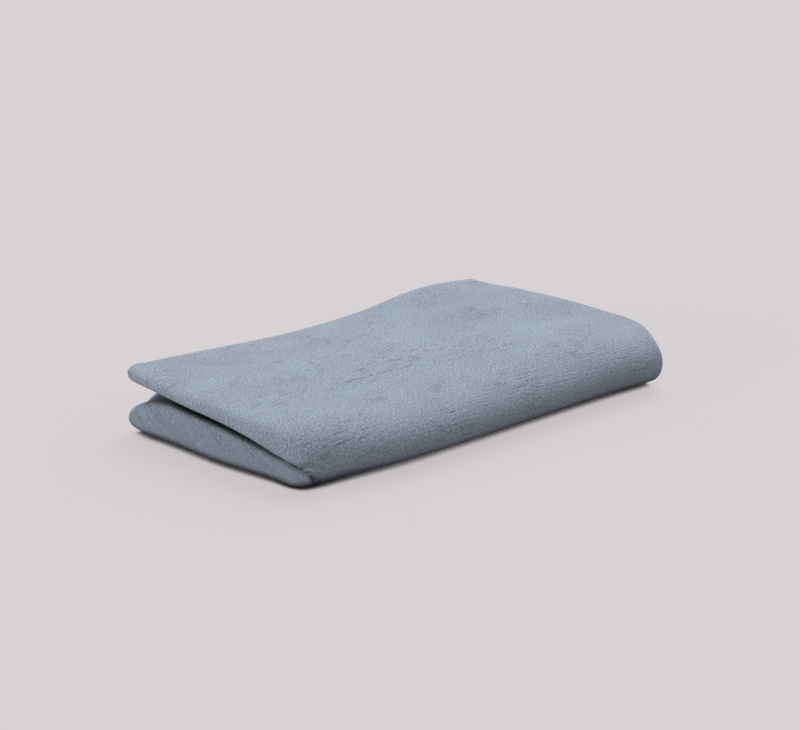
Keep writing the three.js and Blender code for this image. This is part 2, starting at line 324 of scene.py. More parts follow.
HALF_GAP = CREASE_GAP / 2
HALF_CLOTH = CLOTH_THICKNESS / 2
PLY_INSET = PLY_PITCH - HALVING_RADIUS
NOSE_RADIUS = STRIP_THICKNESS / 2 - PLY_INSET
STATION_COUNT = len(STATIONS["top_near"])
STATION_SPACING = PAD_LENGTH / (STATION_COUNT - 1)


# ---- Shape of the pad ------------------------------------------------------------------------------

def ramp(value, low, high):
    return np.clip((value - low) / (high - low), 0, 1)


def smoothstep(value, low, high):
    t = ramp(value, low, high)
    return t * t * (3 - 2 * t)


def lerp(a, b, t):
    return a + (b - a) * t


def smooth_noise(x, y, seed):
    """Smooth noise from -1 to 1, with about one bump for each unit of x and y."""
    lattice = np.random.default_rng(seed).uniform(-1, 1, (NOISE_LATTICE, NOISE_LATTICE))
    i = np.floor(x).astype(int)
    j = np.floor(y).astype(int)
    fx = smoothstep(x - i, 0, 1)
    fy = smoothstep(y - j, 0, 1)
    i, next_i = i % NOISE_LATTICE, (i + 1) % NOISE_LATTICE
    j, next_j = j % NOISE_LATTICE, (j + 1) % NOISE_LATTICE
    near = lerp(lattice[i, j], lattice[next_i, j], fx)
    far = lerp(lattice[i, next_j], lattice[next_i, next_j], fx)
    return lerp(near, far, fy)


def waves(x, y, size, noise):
    """Smooth noise with bumps of the given size in x and y, from a shift and a seed."""
    shift, seed = noise
    return smooth_noise(x / size[0] + shift, y / size[1] + shift, seed)


def uneven_edge(place, level, sizes, noise):
    """Smooth noise along an edge, which changes through the strip from level 0 to 1."""
    length, layers = sizes
    shift, seed = noise
    return smooth_noise(place / length + shift, level * layers, seed)


def along(column, x):
    """A row of the stations at any x, on a smooth curve through its values."""
    values = np.array(STATIONS[column], float)
    ends = (2 * values[0] - values[1], 2 * values[-1] - values[-2])
    values = np.concatenate(([ends[0]], values, [ends[1]]))
    position = np.clip(x / STATION_SPACING, 0, STATION_COUNT - 1)
    i = np.minimum(np.floor(position).astype(int), STATION_COUNT - 2)
    f = position - i
    a, b, c, d = (values[i + k] for k in range(4))
    return b + 0.5 * f * (c - a + f * (2 * a - 5 * b + 4 * c - d + f * (3 * (b - c) + d - a)))


def height(surface, x, y):
    """The height of the "top" or "crease" surface, a parabola through its near, middle and far values."""
    f = np.clip(y / PAD_WIDTH, 0, FAR_SHARE)
    return (along(surface + "_near", x) * (1 - f) * (1 - 2 * f)
            + along(surface + "_middle", x) * 4 * f * (1 - f)
            + along(surface + "_far", x) * f * (2 * f - 1))


def top_height(x, y):
    """The height of the upper face, with the rise at its far right and the trough at its far left."""
    past = (y - RISE_POINT[1]) * RISE_DIRECTION[0] - (x - RISE_POINT[0]) * RISE_DIRECTION[1]
    rise = RISE_SLOPE * (np.sqrt(past ** 2 + RISE_SOFTNESS ** 2) + past) / 2
    start, end, depth, half_width = TROUGH
    trough = depth * np.exp(-(segment_distance(x, y, start, end) / half_width) ** 2)
    wave = (WAVE[0] * waves(x, y, WAVE[1:], WAVE_NOISE)
            * smoothstep(y, *WAVE_NEAR_START) * (1 - smoothstep(y, *WAVE_FAR_END)))
    return height("top", x, y) + rise - trough + wave


def segment_distance(x, y, start, end):
    line = np.subtract(end, start)
    share = ((x - start[0]) * line[0] + (y - start[1]) * line[1]) / (line @ line)
    share = np.clip(share, 0, 1)
    return np.hypot(x - start[0] - share * line[0], y - start[1] - share * line[1])


def book_radius(angle, outward, below, above):
    """Distance from the book fold's centre to its outside. The angle is negative below the centre."""
    vertical = np.where(angle < 0, below, above)
    power = np.where(angle < 0, LOWER_ROUNDNESS, UPPER_ROUNDNESS)
    sideways = np.abs(np.cos(angle) / outward) ** power
    upright = np.abs(np.sin(angle) / vertical) ** power
    return (sideways + upright) ** (-1 / power)


# ---- Fold 1: the width is halved -------------------------------------------------------------------

HALF_WIDTH_RUN = (CLOTH_WIDTH - math.pi * HALVING_RADIUS) / 2
STRIP_WIDTH = HALF_WIDTH_RUN + HALVING_RADIUS


def halve_width(v):
    """The distance from the two hems, and the offset from the middle of the double ply."""
    angle = np.clip((v - HALF_WIDTH_RUN) / HALVING_RADIUS, 0, math.pi)
    run = np.minimum(np.where(angle < math.pi / 2, v, CLOTH_WIDTH - v), HALF_WIDTH_RUN)
    return run + HALVING_RADIUS * np.sin(angle), HALVING_RADIUS * np.cos(angle)


# ---- Fold 2: the length is quartered ---------------------------------------------------------------

TURNS_LENGTH = math.pi * (2 * PLY_PITCH + OUTER_TURN_STRETCH * OUTER_TURN_RADIUS)
HEM_X = LEFT_TURN_X + (CLOTH_LENGTH - TURNS_LENGTH) / 2 - (RIGHT_TURN_X - LEFT_TURN_X)


def spread(start, stop, step):
    """Even places from start to stop, with an even number of steps."""
    steps = 2 * math.ceil(abs(stop - start) / (2 * step))
    return np.linspace(start, stop, steps + 1)


def joined(runs):
    """One run after another, each of which starts where the last one ends."""
    return np.concatenate([run[1:] if k else run for k, run in enumerate(runs)])


def run_rows(places, level, offset):
    """x and the distance from the crease face, for places along a straight run."""
    x = np.repeat(places[:, None], len(offset), axis=1)
    return x, np.broadcast_to(level * DOUBLE_PLY + offset, x.shape)


def nose_angles():
    """Angles round the outer turn at the left end, closer at its end, where the lip of the crease shows."""
    first_quarter = np.linspace(0, math.pi / 2, NOSE_STEPS + 1)
    front = np.linspace(math.pi / 2, math.pi - math.asin(LIP_SHARE), FRONT_STEPS + 1)
    lip = np.linspace(LIP_SHARE ** LOWER_LIP_BLUNTNESS, 0, LIP_STEPS + 1)
    lip_angles = math.pi - np.arcsin(lip ** (1 / LOWER_LIP_BLUNTNESS))
    return joined([first_quarter, front, lip_angles])


def turn_rows(x, side, climb, radius, angles, runs, offset):
    """The same for a turn that leads from one run to another: to the side 1 or -1, climbing 1 or -1."""
    angle = angles[:, None]
    middle = sum(runs) / 2 * DOUBLE_PLY
    return x + side * (radius + offset) * np.sin(angle), middle - climb * (radius + offset) * np.cos(angle)


def quarter_length(offset):
    """x and the distance from the crease face, for rows from hem to hem. The rows of the run that shows and
    of the turn that leads it round the left end are close together."""
    bend = LEFT_TURN_X + LEFT_FADE
    hem_end = HEM_X - 2 * HEM_WIDTH
    first = joined([spread(HEM_X, hem_end, HEM_STEP), spread(hem_end, bend, COARSE_STEP),
                    spread(bend, LEFT_TURN_X, BEND_STEP)])
    second = joined([spread(LEFT_TURN_X, bend, BEND_STEP), spread(bend, RIGHT_TURN_X, COARSE_STEP)])
    third = joined([spread(RIGHT_TURN_X, WIDE_START_X, WIDE_STEP),
                    spread(WIDE_START_X, CLOSE_END_X, FINE_STEP),
                    spread(CLOSE_END_X, LEFT_TURN_X, CLOSE_STEP)])
    last = joined([spread(LEFT_TURN_X, bend, LAST_BEND_STEP), spread(bend, hem_end, COARSE_STEP),
                   spread(hem_end, HEM_X, HEM_STEP)])
    half_turn = np.linspace(0, math.pi, TURN_STEPS + 1)
    pieces = [
        run_rows(first, FIRST_RUN, offset),
        turn_rows(LEFT_TURN_X, -1, 1, PLY_PITCH, half_turn, (FIRST_RUN, SECOND_RUN), -offset),
        run_rows(second, SECOND_RUN, -offset),
        turn_rows(RIGHT_TURN_X, 1, 1, PLY_PITCH, half_turn, (SECOND_RUN, THIRD_RUN), offset),
        run_rows(third, THIRD_RUN, offset),
        turn_rows(LEFT_TURN_X, -1, -1, OUTER_TURN_RADIUS, nose_angles(), (THIRD_RUN, LAST_RUN), offset),
        run_rows(last, LAST_RUN, -offset),
    ]
    return joined([x for x, _ in pieces]), joined([depth for _, depth in pieces])


# ---- Fold 3: the strip is closed like a book, and takes the shape of the pad -----------------------

def left_fading(x, length):
    """1 at the left end, falling off over the given length along the pad."""
    return np.exp(-np.maximum(x - LEFT_TURN_X, 0) / length)


def lower_half(x, centre_y, from_far_edge, level):
    uneven = FAR_UNEVENNESS * uneven_edge(x, level, FAR_EDGE_WAVES, LOWER_FAR_NOISE)
    y = lerp(PAD_WIDTH - lerp(*LOWER_FAR_INSET, level) + uneven, centre_y, from_far_edge)
    lift = LIFT * left_fading(x, LIFT_FADE) * smoothstep(y - centre_y, 0, BOOK_FADE)
    highest = height("crease", x, y) - HALF_GAP - HALF_CLOTH
    return y, lerp(highest, HALF_CLOTH + lift, level)


def upper_half(x, centre_y, from_book, level):
    uneven = FAR_UNEVENNESS * uneven_edge(x, level, FAR_EDGE_WAVES, UPPER_FAR_NOISE) * (1 - level)
    far_edge = PAD_WIDTH - lerp(*UPPER_FAR_INSET, level) + uneven + along("far_reach", x)
    y = lerp(centre_y, far_edge, from_book)
    parting = PARTING * smoothstep(from_book, 0, PARTING_SHARE)
    lowest = height("crease", x, y) + HALF_GAP + parting + HALF_CLOTH
    return y, lerp(lowest, top_height(x, y) - HALF_CLOTH, level)


def book_fold(x, centre_y, angle, level):
    centre_z = height("crease", x, centre_y)
    outward = centre_y + along("near_reach", x) - HALF_CLOTH
    above = top_height(x, centre_y) - centre_z - HALF_CLOTH
    outside = book_radius(angle, outward, centre_z - HALF_CLOTH, above)
    radius = lerp(HALF_GAP + HALF_CLOTH, outside, level)
    return centre_y - radius * np.cos(angle), centre_z + radius * np.sin(angle)


def close_book(x, across, depth):
    """y, z, the angle round the book fold, which is a quarter turn down or up on the two halves, and the
    level in the strip: 0 beside the crease between the halves, 1 outside."""
    level = (depth - PLY_INSET) / (2 * NOSE_RADIUS)
    centre_y = along("book_centre", x)
    below = across <= BOOK_START
    above = across >= BOOK_END
    angle = (np.clip((across - BOOK_START) / BOOK_LENGTH, 0, 1) - 0.5) * math.pi
    lower = lower_half(x, centre_y, across / BOOK_START, level)
    upper = upper_half(x, centre_y, (across - BOOK_END) / (STRIP_WIDTH - BOOK_END), level)
    book = book_fold(x, centre_y, angle, level)
    y = np.where(below, lower[0], np.where(above, upper[0], book[0]))
    z = np.where(below, lower[1], np.where(above, upper[1], book[1]))
    return y, z, angle, level


def nose_slope(x, y, z):
    """How far the upper part of a nose lies back from its lower part."""
    crease = height("crease", x, y)
    above = np.clip((z - crease) / (top_height(x, y) - crease), 0, 1)
    below = np.clip(z / crease, 0, 1)
    upper_slope = lerp(UPPER_NOSE_NEAR_SLOPE, UPPER_NOSE_SLOPE, smoothstep(y / PAD_WIDTH, *SHOULDER_END))
    slope = np.where(z > crease, upper_slope * above ** NOSE_SLOPE_POWER, LOWER_NOSE_SLOPE * below ** 2)
    return slope * left_fading(x, NOSE_SLOPE_FADE)


def nose_droop(x, y, z):
    """The height of a point once the shoulders of the pad have sunk and the noses have bent."""
    farness = smoothstep(y / PAD_WIDTH, *SHOULDER_END)
    into_nose = np.maximum(LEFT_TURN_X - x, 0) / NOSE_RADIUS
    sinking = left_fading(x, SHOULDER_FADE) + into_nose * NOSE_RADIUS / SHOULDER_FADE
    drop = SHOULDER_DROOP * (1 - farness) * sinking
    bend = (1 - farness) * into_nose ** 2
    crease = height("crease", x, y)
    above = crease + (z - crease) * (1 - UPPER_NOSE_DROOP * bend) - drop + TIP_CURL * farness * into_nose
    corner = (CORNER_DROOP * ramp(y / PAD_WIDTH, CORNER_DROOP_START, 1) ** CORNER_DROOP_POWER
              * left_fading(x, CORNER_DROOP_FADE))
    below = z * (1 - LOWER_NOSE_DROOP * bend) * (1 - drop / crease) * (1 - corner)
    return np.where(z > crease, above, below)


def corner_crease(x, y, z):
    """How far the near side moves in at the end of the crease round the near left corner."""
    away = segment_distance(x, z, *CORNER_CREASE) / CORNER_CREASE_WIDTH
    inward = np.maximum(y + along("near_reach", x), 0)
    return CORNER_CREASE_DEPTH * np.exp(-away ** 2 - inward / CORNER_CREASE_FADE)


def hollow(x, y, z, angle):
    """How far the upper face of the lower half falls behind its lip."""
    along_pad = smoothstep(x, *HOLLOW_START) * (1 - smoothstep(x, *HOLLOW_END))
    across_pad = (smoothstep(y - along("book_centre", x), 0, BOOK_FADE)
                  * (1 - smoothstep(y, *HOLLOW_FAR_END)))
    share = np.clip(z / height("crease", x, y), 0, 1)
    return np.where(angle < 0, HOLLOW * along_pad * across_pad * share ** 2, 0)


def left_corners(x, y, above_crease, share):
    """How far the outline of the left end lies back, and how much further it does below the crease."""
    centre_y = along("book_centre", x)
    cornerness = smoothstep(centre_y - y, 0, centre_y + LEFT_NEAR_CORNER_SIZE)
    near_corner = LEFT_NEAR_CORNER_ABOVE * cornerness
    below_crease = ((LEFT_NEAR_CORNER_BELOW - LEFT_NEAR_CORNER_ABOVE) * cornerness
                    + LOWER_NEAR_SETBACK * smoothstep(y, *LOWER_NEAR_SETBACK_END)) * (1 - above_crease)
    farthest = ramp(share, FAR_CORNER_SHARE, 1) ** 2
    far_corner = lerp(LOWER_FAR_CORNER, UPPER_FAR_CORNER, above_crease) * farthest
    bow = lerp(LOWER_LEFT_BOW, UPPER_LEFT_BOW, above_crease) * np.sin(math.pi * share)
    reach = UPPER_SETBACK * above_crease - LEFT_REACH - bow
    return near_corner + far_corner + reach, below_crease


def nose_shape(y, angle, level, farness, nose_share):
    """The place in a nose, from 0 where it starts to 1 at its tip, once the nose and its lip are as blunt as
    they should be."""
    far_lip = smoothstep(y, *FAR_LIP_PLACES)
    lower_lip = lerp(LOWER_LIP_BLUNTNESS, LOWER_FAR_LIP_BLUNTNESS, far_lip)
    upper_lip = lerp(UPPER_LIP_BLUNTNESS, UPPER_FAR_LIP_BLUNTNESS, far_lip)
    lip = nose_share ** np.where(angle < 0, lower_lip, upper_lip)
    bluntness = lerp(NEAR_BLUNTNESS, FAR_BLUNTNESS, farness)
    return lerp(1 - (1 - nose_share) ** bluntness, lip, smoothstep(level, *LIP_LEVELS))


def corner_buckle(x, y, z, buckle_angle):
    """How far the crease round the near left corner moves in along the pad. It is a line from the centre of
    the book fold outward."""
    centre_y = along("book_centre", x)
    out_y = centre_y - y
    out_z = z - height("crease", x, centre_y)
    line_y, line_z = np.cos(buckle_angle), np.sin(buckle_angle)
    along_line = np.maximum(out_y * line_y + out_z * line_z, 0)
    away = np.hypot(out_y - along_line * line_y, out_z - along_line * line_z)
    past_nose = np.maximum(x - LEFT_TURN_X, 0)
    return BUCKLE_DEPTH * np.exp(-(away / BUCKLE_WIDTH) ** 2 - past_nose / BUCKLE_FADE)


def left_end(x, y, z, angle, level):
    """How far a point of the left end moves along the pad."""
    share = np.clip(y / PAD_WIDTH, 0, 1)
    farness = smoothstep(share, STRETCH_SHARE, 1)
    far_stretch = np.where(angle < 0, LOWER_FAR_STRETCH, UPPER_FAR_STRETCH)
    nose_length = NOSE_RADIUS * lerp(NEAR_STRETCH, far_stretch, farness)
    into_nose = np.maximum(LEFT_TURN_X - x, 0)
    nose_share = np.minimum(into_nose / NOSE_RADIUS, 1)

    buckle_angle = BUCKLE_ANGLE + BUCKLE_TURN * smoothstep(x, *BUCKLE_TURN_PLACES)
    above_crease = smoothstep(angle - buckle_angle, -BUCKLE_SPREAD, BUCKLE_SPREAD)
    outline, below_crease = left_corners(x, y, above_crease, share)
    shift = outline + nose_length - LEFT_TURN_X
    nose_stretch = nose_length * nose_shape(y, angle, level, farness, nose_share) - into_nose
    return (shift * left_fading(x, LEFT_FADE) + below_crease * left_fading(x, NEAR_CORNER_FADE)
            - nose_stretch + corner_buckle(x, y, z, buckle_angle) + nose_slope(x, y, z))


def right_end(x, y, level):
    """How far a point of the right end moves along the pad."""
    f = np.clip(y / PAD_WIDTH, 0, 1)
    near_limit = along("book_centre", x) + RIGHT_NEAR_CORNER_SIZE
    near_corner = RIGHT_NEAR_CORNER * smoothstep(near_limit - y, 0, near_limit + RIGHT_NEAR_CORNER_SIZE)
    far_corner = RIGHT_FAR_CORNER * smoothstep(f, RIGHT_FAR_CORNER_SHARE, 1)
    fade = np.exp(np.minimum(x - RIGHT_TURN_X, 0) / RIGHT_FADE)
    uneven = RIGHT_UNEVENNESS * uneven_edge(y, level, RIGHT_EDGE_WAVES, RIGHT_NOISE)
    return (RIGHT_BOW * np.sin(math.pi * f) - far_corner - near_corner + uneven) * fade


# ---- The cloth as a mesh ---------------------------------------------------------------------------

def width_places():
    """Places across the flat width. The half that lies outside in the pad has the closer ones."""
    hem_end = 2 * HEM_WIDTH
    turn_end = CLOTH_WIDTH - HALF_WIDTH_RUN
    inner_book_start, inner_book_end = CLOTH_WIDTH - BOOK_END, CLOTH_WIDTH - BOOK_START
    return joined([
        spread(0, hem_end, HEM_STEP),
        spread(hem_end, BOOK_START, LOWER_STEP),
        np.linspace(BOOK_START, BOOK_END, BOOK_STEPS + 1),
        spread(BOOK_END, FAR_START, UPPER_STEP),
        spread(FAR_START, HALF_WIDTH_RUN, FAR_STEP),
        np.linspace(HALF_WIDTH_RUN, turn_end, HALVING_STEPS + 1),
        spread(turn_end, inner_book_start, INNER_UPPER_STEP),
        np.linspace(inner_book_start, inner_book_end, BOOK_STEPS // 2 + 1),
        spread(inner_book_end, CLOTH_WIDTH - hem_end, INNER_LOWER_STEP),
        spread(CLOTH_WIDTH - hem_end, CLOTH_WIDTH, HEM_STEP),
    ])


def grid_normals(points):
    along_length = np.gradient(points, axis=0)
    across_width = np.gradient(points, axis=1)
    normals = np.cross(along_length, across_width)
    return normals / np.linalg.norm(normals, axis=2, keepdims=True)


def row_lengths(points):
    """Distance of each row from the first hem, on the mean of its columns."""
    steps = np.linalg.norm(np.diff(points, axis=0), axis=2).mean(axis=1)
    return np.concatenate(([0], np.cumsum(steps)))


def arc_lengths(points, axis, origin):
    """Distance along each line of the grid, from the line with the index origin."""
    steps = np.linalg.norm(np.diff(points, axis=axis), axis=2)
    start = np.zeros_like(np.take(steps, [0], axis=axis))
    total = np.concatenate((start, np.cumsum(steps, axis=axis)), axis=axis)
    return total - np.take(total, [origin], axis=axis)


def crinkles(x, y):
    """Depth of the short creases, each with a low ridge beside it."""
    depth = np.zeros_like(x)
    for middle_x, middle_y, length, deep, slant in CRINKLES:
        c, s = math.cos(slant), math.sin(slant)
        lengthwise = ((x - middle_x) * c + (y - middle_y) * s) / (length / 2)
        sideways = ((y - middle_y) * c - (x - middle_x) * s) / CRINKLE_WIDTH
        ends = np.exp(-lengthwise ** 4)
        ridge = RIDGE_SHARE * np.exp(-(sideways - RIDGE_PLACE) ** 2)
        depth += deep * ends * (np.exp(-sideways ** 2) - ridge)
    return depth


def ripples(x, y):
    """Depth of the fine ripples, which are strongest in one part of the upper face."""
    away_x = (x - RIPPLE_MIDDLE[0]) / RIPPLE_REACH[0]
    away_y = (y - RIPPLE_MIDDLE[1]) / RIPPLE_REACH[1]
    strength = RIPPLE_REST + (1 - RIPPLE_REST) * np.exp(-(away_x ** 2 + away_y ** 2))
    fine = (RIPPLE_SHARE * waves(x, y, RIPPLE[1:], RIPPLE_NOISE)
            + SMALL_RIPPLE_SHARE * waves(x, y, SMALL_RIPPLE, SMALL_RIPPLE_NOISE))
    return RIPPLE[0] * strength * fine


def folded_cloth():
    """The middle surface of the cloth as a grid of points, and how far each lies from the nearest hem."""
    v = width_places()
    across, offset = halve_width(v)
    x, depth = quarter_length(offset)
    y, z, angle, level = close_book(x, np.broadcast_to(across, x.shape), depth)
    end_x = x + left_end(x, y, z, angle, level) + right_end(x, y, level)
    z = nose_droop(x, y, z)
    x = end_x
    z = z - hollow(x, y, z, angle)
    points = np.stack((x, y + corner_crease(x, y, z), z), axis=2)

    outermost = smoothstep(level, OUTERMOST_LEVEL, 1) * (v < CLOTH_WIDTH / 2)
    upper = smoothstep(across, BOOK_END - DENT_FADE, BOOK_END + DENT_FADE)
    dents = (crinkles(x, y) * CRINKLE_STRENGTH + ripples(x, y)) * outermost * upper
    points -= grid_normals(points) * dents[..., None]

    u = row_lengths(points)
    hem = np.minimum(np.minimum(v, CLOTH_WIDTH - v)[None, :], np.minimum(u, u[-1] - u)[:, None])
    return points, hem


def border(rows, columns, step=1):
    """Grid indices of every step-th point round the border, in order."""
    top = [(0, j) for j in range(0, columns - 1, step)]
    right = [(i, columns - 1) for i in range(0, rows - 1, step)]
    bottom = [(rows - 1, j) for j in range(columns - 1, 0, -step)]
    left = [(i, 0) for i in range(rows - 1, 0, -step)]
    return top + right + bottom + left


def rounded_rim(points, places):
    """A line of points just outside the border, which makes the cloth's edge round."""
    last_row, last_column = points.shape[0] - 2, points.shape[1] - 2
    inward = [(min(max(i, 1), last_row), min(max(j, 1), last_column)) for i, j in places]
    edge = np.array([points[place] for place in places])
    outward = edge - np.array([points[place] for place in inward])
    outward /= np.linalg.norm(outward, axis=1, keepdims=True)
    return edge + outward * HEM_THICKNESS * RIM_SHARE


def rim_faces(front_loop, rim_loop, back_loop):
    """Faces from the front to the rim and on to the back, which has every second point of the border."""
    count = len(front_loop)
    faces = []
    for k in range(count):
        n = (k + 1) % count
        faces.append((front_loop[k], front_loop[n], rim_loop[n], rim_loop[k]))
    for k in range(0, count, 2):
        n = (k + 2) % count
        faces.append((rim_loop[k], rim_loop[k + 1], rim_loop[n], back_loop[(k // 2 + 1) % len(back_loop)],
                      back_loop[k // 2]))
    return faces


def grid_faces(start, rows, columns, turned):
    faces = []
    for i in range(rows - 1):
        for j in range(columns - 1):
            a = start + i * columns + j
            face = (a, a + columns, a + columns + 1, a + 1)
            faces.append(face[::-1] if turned else face)
    return faces


def cloth_mesh():
    """A closed sheet. Its front face shows and is fine. Its back face lies inside the first fold and takes
    every second point of the grid. With it come each point's place on the cloth and distance from a hem."""
    points, hem = folded_cloth()
    normals = grid_normals(points)
    past_hem = smoothstep(hem, HEM_WIDTH - HEM_EASE, HEM_WIDTH)
    half = lerp(HEM_THICKNESS, CLOTH_THICKNESS, past_hem)[..., None] / 2
    front = points + normals * half
    back = (points - normals * half)[::2, ::2]
    rows, columns = front.shape[:2]
    back_rows, back_columns = back.shape[:2]
    places = border(rows, columns)
    rim = rounded_rim(points, places)
    vertices = np.concatenate((front.reshape(-1, 3), back.reshape(-1, 3), rim))
    vertices[:, 2] = np.maximum(vertices[:, 2], 0)

    back_start = rows * columns
    rim_start = back_start + back_rows * back_columns
    front_loop = [i * columns + j for i, j in places]
    back_loop = [back_start + (i // 2) * back_columns + j // 2 for i, j in places[::2]]
    rim_loop = list(range(rim_start, rim_start + len(places)))
    faces = (grid_faces(0, rows, columns, False) + grid_faces(back_start, back_rows, back_columns, True)
             + rim_faces(front_loop, rim_loop, back_loop))

    u = arc_lengths(front, 0, int(rows * ORIGIN_ROW_SHARE))
    v = arc_lengths(front, 1, columns // 2)
    uv = np.stack((u, v), axis=2)
    rim_uv = np.array([uv[place] for place in places])
    cloth_uv = np.concatenate((uv.reshape(-1, 2), uv[::2, ::2].reshape(-1, 2), rim_uv))
    edge_distance = np.concatenate((hem.ravel(), hem[::2, ::2].ravel(), np.zeros(len(places))))
    return vertices, faces, cloth_uv, edge_distance


def make_towel():
    """The cloth as an object, in metres and set where the CAD solid is."""
    vertices, faces, uv, edge_distance = cloth_mesh()
    low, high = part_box("towel")
    corner = vertices.min(axis=0)
    centre = (vertices.min(axis=0) + vertices.max(axis=0)) / 2
    place = np.array([(low.x + high.x) / 2, (low.y + high.y) / 2, low.z])
    vertices = (vertices - [centre[0], centre[1], corner[2]]) * MM + place

    mesh = bpy.data.meshes.new("towel_cloth")
    mesh.from_pydata(vertices.tolist(), [], faces)
    mesh.validate()
    mesh.shade_smooth()
    corners = np.zeros(len(mesh.loops), int)
    mesh.loops.foreach_get("vertex_index", corners)
    layer = mesh.uv_layers.new(name="cloth")
    layer.uv.foreach_set("vector", (uv[corners] * MM).astype(np.float32).ravel())
    attribute = mesh.attributes.new("edge_distance", "FLOAT", "POINT")
    attribute.data.foreach_set("value", edge_distance.astype(np.float32))
    towel = bpy.data.objects.new("towel_cloth", mesh)
    bpy.context.scene.collection.objects.link(towel)
    return towel


# ---- Materials -------------------------------------------------------------------------------------

# The two yarn colours of the cloth, whose mean is its colour
COOL_YARN = (0.31, 0.378, 0.474)
WARM_YARN = (0.35, 0.401, 0.47)

# Sizes in metres, along the cloth's length and its width
WARP_FLECK = (0.0019, 0.0007)
WEFT_FLECK = (0.0007, 0.0014)
SLUB = (0.022, 0.0016)
WRINKLE = (0.012, 0.0013)
WRINKLE_PATCH = (0.045, 0.03)
MOTTLE = (0.06, 0.035)
GRAIN = 0.0009
RIB_PITCH = 0.0022

# How much each changes the tone, and the range of its noise over which it does. The flecks mix both threads
WARP_SHARE = 0.55
WEFT_SHARE = 0.45
FLECK_CONTRAST = 0.26
FLECK_RANGE = (0.32, 0.68)
SLUB_CONTRAST = 0.03
MOTTLE_CONTRAST = 0.05
TONE_RANGE = (0.3, 0.7)
YARN_RANGE = (0.35, 0.65)
# Painted shade: the small wrinkles are darkened in colour as well as sunk in the bump
WRINKLE_PAINTED_SHADE = 0.8
WRINKLE_RANGE = (0.25, 0.4)
PATCH_RANGE = (0.42, 0.6)

# Painted shade: the cloth's colour darkens in its creases and close to the floor, where shade falls. How far
# it looks for cloth or floor, the open space over which it darkens, and its darkest tone
PAINTED_SHADE_REACH = 0.012
PAINTED_SHADE_OPENNESS = (0.28, 0.78)
PAINTED_SHADE_DARKEST = 0.15
OPENNESS_SAMPLES = 4

# How much each raises the surface, as shares of the bump's distance in metres
WEAVE_RELIEF = 0.22
RIB_SHARE = 0.5
GRAIN_RELIEF = 0.8
SLUB_RELIEF = 0.4
STITCH_RELIEF = 1.2
WRINKLE_RELIEF = -1.0
BUMP_STRENGTH = 0.9
BUMP_DISTANCE = 0.00042

CLOTH_ROUGHNESS = 0.9
CLOTH_SPECULAR = 0.2
SHEEN_WEIGHT = 0.1
SHEEN_ROUGHNESS = 0.5

# The hem's stitches: distance from the edge and width in millimetres, then length in metres
STITCH_INSET = 6.3
STITCH_WIDTH = 1.0
STITCH_EDGE = (0.3, 0.6)
STITCH_LENGTH = 0.0032
STITCH_SHARE = 0.75
STITCH_TONE = 1.2

# The floor's colour to the camera and to the object, the share of it that glows, and the painted shadow in
# the gap under the cloth's edge, where the glow goes and the colour darkens: how far it looks for cloth, the
# open space over which it darkens, and its darkest tone
FLOOR_COLOUR = (0.679, 0.645, 0.658)
FLOOR_BOUNCE_COLOUR = (0.3, 0.29, 0.295)
FLOOR_GLOW = 0.8
FLOOR_PAINTED_SHADOW_REACH = 0.0042
FLOOR_PAINTED_SHADOW_OPENNESS = (0.25, 0.6)
FLOOR_PAINTED_SHADOW_DARKEST = 0.05


def new_material(name):
    material = bpy.data.materials.new(name)
    material.use_nodes = True
    return material, material.node_tree.nodes, material.node_tree.links


class NodeMaths:
    """Short names for the shader nodes that the cloth needs."""

    def __init__(self, nodes, links):
        self.nodes = nodes
        self.links = links

    def feed(self, socket, value):
        if isinstance(value, bpy.types.NodeSocket):
            self.links.new(value, socket)
        else:
            socket.default_value = value

    def math(self, operation, a, b=0.0, c=0.0):
        node = self.nodes.new("ShaderNodeMath")
        node.operation = operation
        for socket, value in zip(node.inputs, (a, b, c)):
            self.feed(socket, value)
        return node.outputs[0]

    def stretched_noise(self, place, size_u, size_v, detail=1.0):
        """Noise with bumps of the given sizes in metres along the cloth's length and width."""
        scale = self.nodes.new("ShaderNodeVectorMath")
        scale.operation = "MULTIPLY"
        self.feed(scale.inputs[0], place)
        scale.inputs[1].default_value = (1 / size_u, 1 / size_v, 0)
        noise = self.nodes.new("ShaderNodeTexNoise")
        noise.noise_dimensions = "2D"
        noise.inputs["Scale"].default_value = 1
        noise.inputs["Detail"].default_value = detail
        self.links.new(scale.outputs[0], noise.inputs["Vector"])
        return noise.outputs["Fac"]

    def spread(self, value, low, high, to_low, to_high):
        node = self.nodes.new("ShaderNodeMapRange")
        node.interpolation_type = "SMOOTHSTEP"
        names = ("From Min", "From Max", "To Min", "To Max")
        for name, number in zip(names, (low, high, to_low, to_high)):
            node.inputs[name].default_value = number
        self.feed(node.inputs["Value"], value)
        return node.outputs["Result"]

    def contrast(self, noise, span, amount):
        """A tone round 1, lower and higher by the given amount at the ends of the noise's range."""
        return self.spread(noise, *span, 1 - amount, 1 + amount)

    def product(self, *values):
        result = values[0]
        for value in values[1:]:
            result = self.math("MULTIPLY", result, value)
        return result

    def openness(self, reach):
        """How much open space there is within reach of a point, from 0 to 1."""
        node = self.nodes.new("ShaderNodeAmbientOcclusion")
        node.inputs["Distance"].default_value = reach
        node.samples = OPENNESS_SAMPLES
        return node.outputs["AO"]

    def tint(self, colour, amount):
        node = self.nodes.new("ShaderNodeVectorMath")
        node.operation = "SCALE"
        self.feed(node.inputs[0], colour)
        self.feed(node.inputs["Scale"], amount)
        return node.outputs[0]


